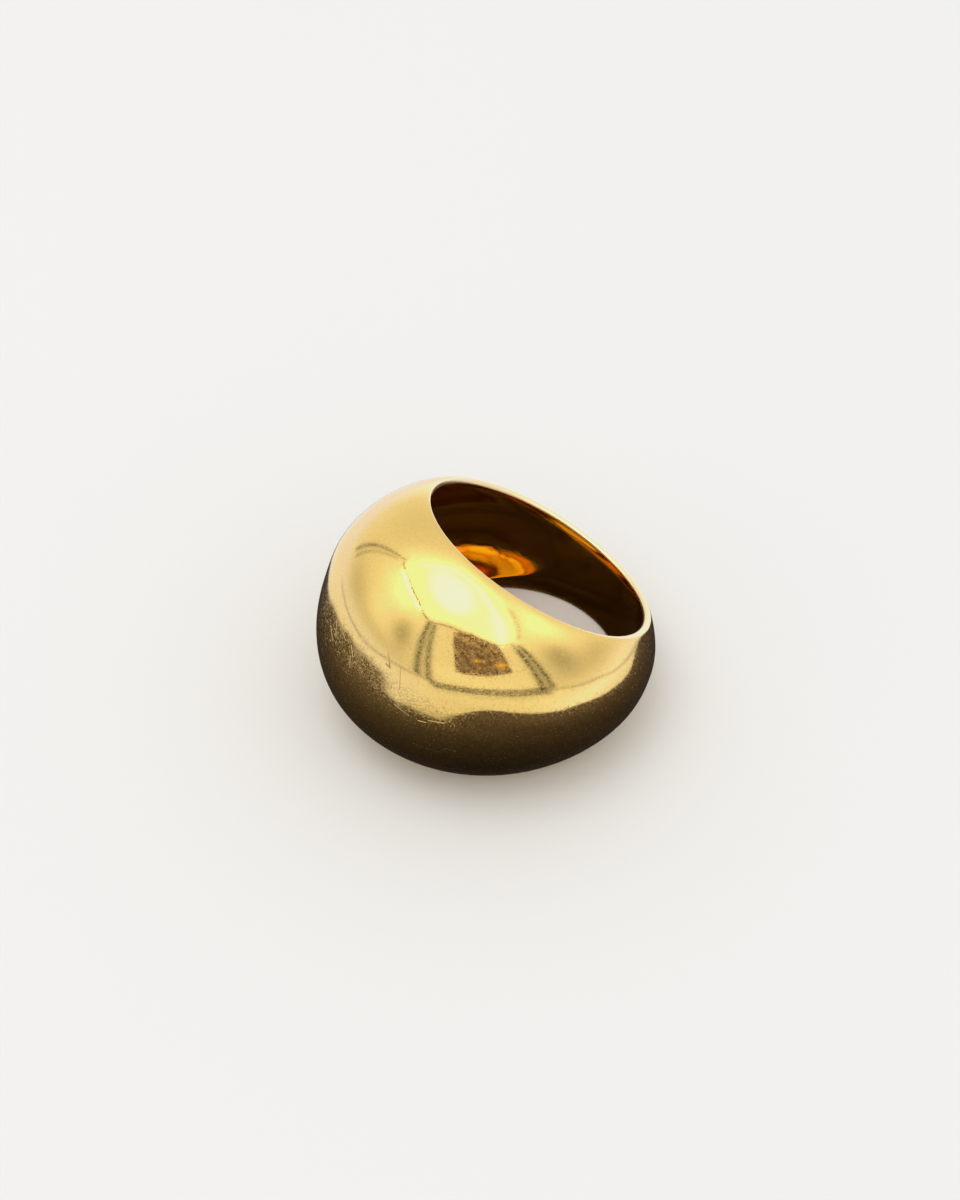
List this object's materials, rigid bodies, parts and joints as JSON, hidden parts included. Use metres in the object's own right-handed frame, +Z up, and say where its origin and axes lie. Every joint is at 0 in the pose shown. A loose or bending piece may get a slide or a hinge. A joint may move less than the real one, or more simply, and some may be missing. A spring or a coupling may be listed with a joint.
{
  "type": "dome ring",
  "caption": "Plain gold dome ring: a narrow shank swells into a high rounded dome that is hollow behind, and the ring lies on its flat lower rim.",
  "frame": {"origin": "middle of the ring's outline, on the surface that its lower rim lies on", "axes": "+Z up, -X towards the dome, +X towards the shank, Y across the ring"},
  "size_m": [0.024, 0.0238, 0.0162],
  "materials": {
    "gold": "polished gold, softly worn"
  },
  "bodies": {
    "root": {"ring_body": "gold"}
  },
  "joints": []
}
